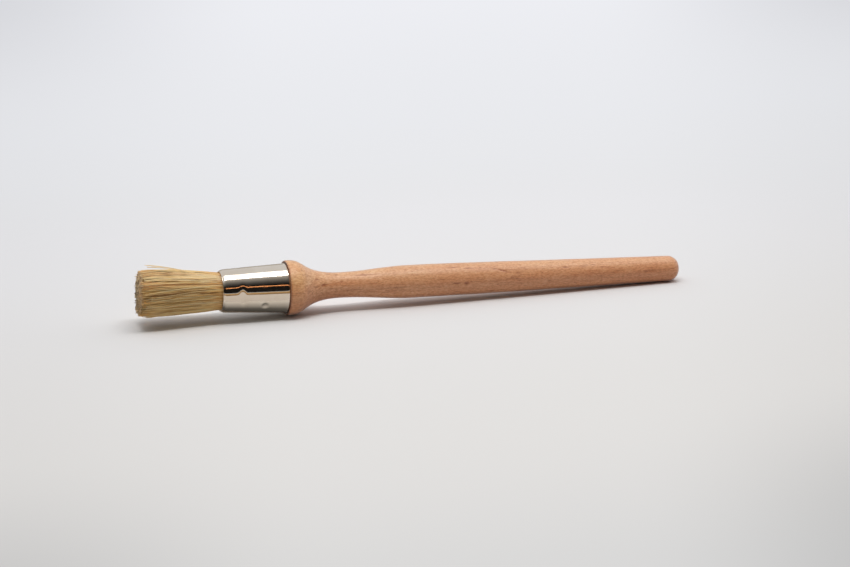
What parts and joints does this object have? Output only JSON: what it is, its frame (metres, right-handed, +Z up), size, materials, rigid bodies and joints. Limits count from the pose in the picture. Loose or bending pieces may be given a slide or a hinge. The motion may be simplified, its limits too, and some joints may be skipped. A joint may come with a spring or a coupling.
{
  "type": "pastry brush",
  "caption": "Round pastry brush: natural bristle tuft set in a tapered plated-steel ferrule on a turned beech handle with a flared collar and rounded end.",
  "frame": {"origin": "on the table under the middle of the brush's length, as the brush lies on its side", "axes": "+X from the bristles towards the handle end, +Z up, the brush axis in the XZ plane and leaning down about 2 degrees towards +X"},
  "size_m": [0.2226, 0.0212, 0.0218],
  "materials": {
    "beech": "raw turned beech, unvarnished, fine sanded",
    "plated_steel": "bright nickel-plated thin sheet",
    "resin": "hardened amber setting resin",
    "bristle": "natural blond hog bristle"
  },
  "bodies": {
    "brush": {"handle": "beech", "ferrule": "plated_steel", "setting_resin": "resin", "bristle_butts": "bristle", "bristle_roots": "bristle"},
    "tuft": {"bristle_tuft": "bristle"}
  },
  "joints": [
    {"name": "bristle_bend", "type": "hinge", "parent": "brush", "child": "tuft", "pos_m": [-0.08026, 0, 0.01159], "axis": [0.0344, 0, 0.9994], "range_deg": [-30, 30], "stiffness_Nm_per_rad": 0.05, "deforming": ["bristle_roots"]}
  ]
}
